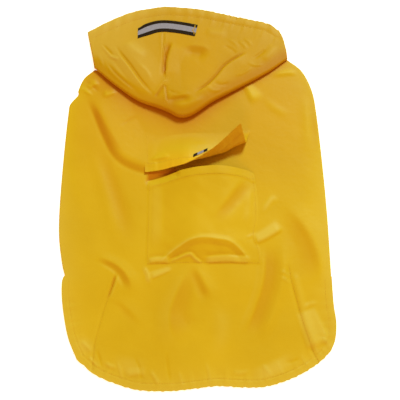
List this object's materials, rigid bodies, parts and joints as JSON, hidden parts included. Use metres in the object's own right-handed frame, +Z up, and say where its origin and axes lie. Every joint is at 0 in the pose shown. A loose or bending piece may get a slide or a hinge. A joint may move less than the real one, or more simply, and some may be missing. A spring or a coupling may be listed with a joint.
{
  "type": "dog raincoat",
  "caption": "Hooded dog raincoat laid flat on its belly side: back with a flapped patch pocket, belly with leg holes, elastic-edged hood with a reflective tape.",
  "frame": {"origin": "under the middle of the coat's box, on the surface that it lies on", "axes": "+Y from the rump's hem to the hood's opening, +X to the right seen from above with the hood away from the viewer, +Z up out of the back"},
  "size_m": [0.3374, 0.508, 0.0366],
  "materials": {
    "coated_cloth": "satin coated golden-yellow cloth",
    "reflective_tape": "silver-grey reflective tape with black borders"
  },
  "bodies": {
    "root": {"back_panel": "coated_cloth", "belly_panel": "coated_cloth", "hood_left": "coated_cloth", "hood_right": "coated_cloth", "hood_folded_layers": "coated_cloth", "hood_tape": "reflective_tape", "pocket": "coated_cloth", "pocket_flap": "coated_cloth", "flap_tab": "reflective_tape"}
  },
  "joints": []
}
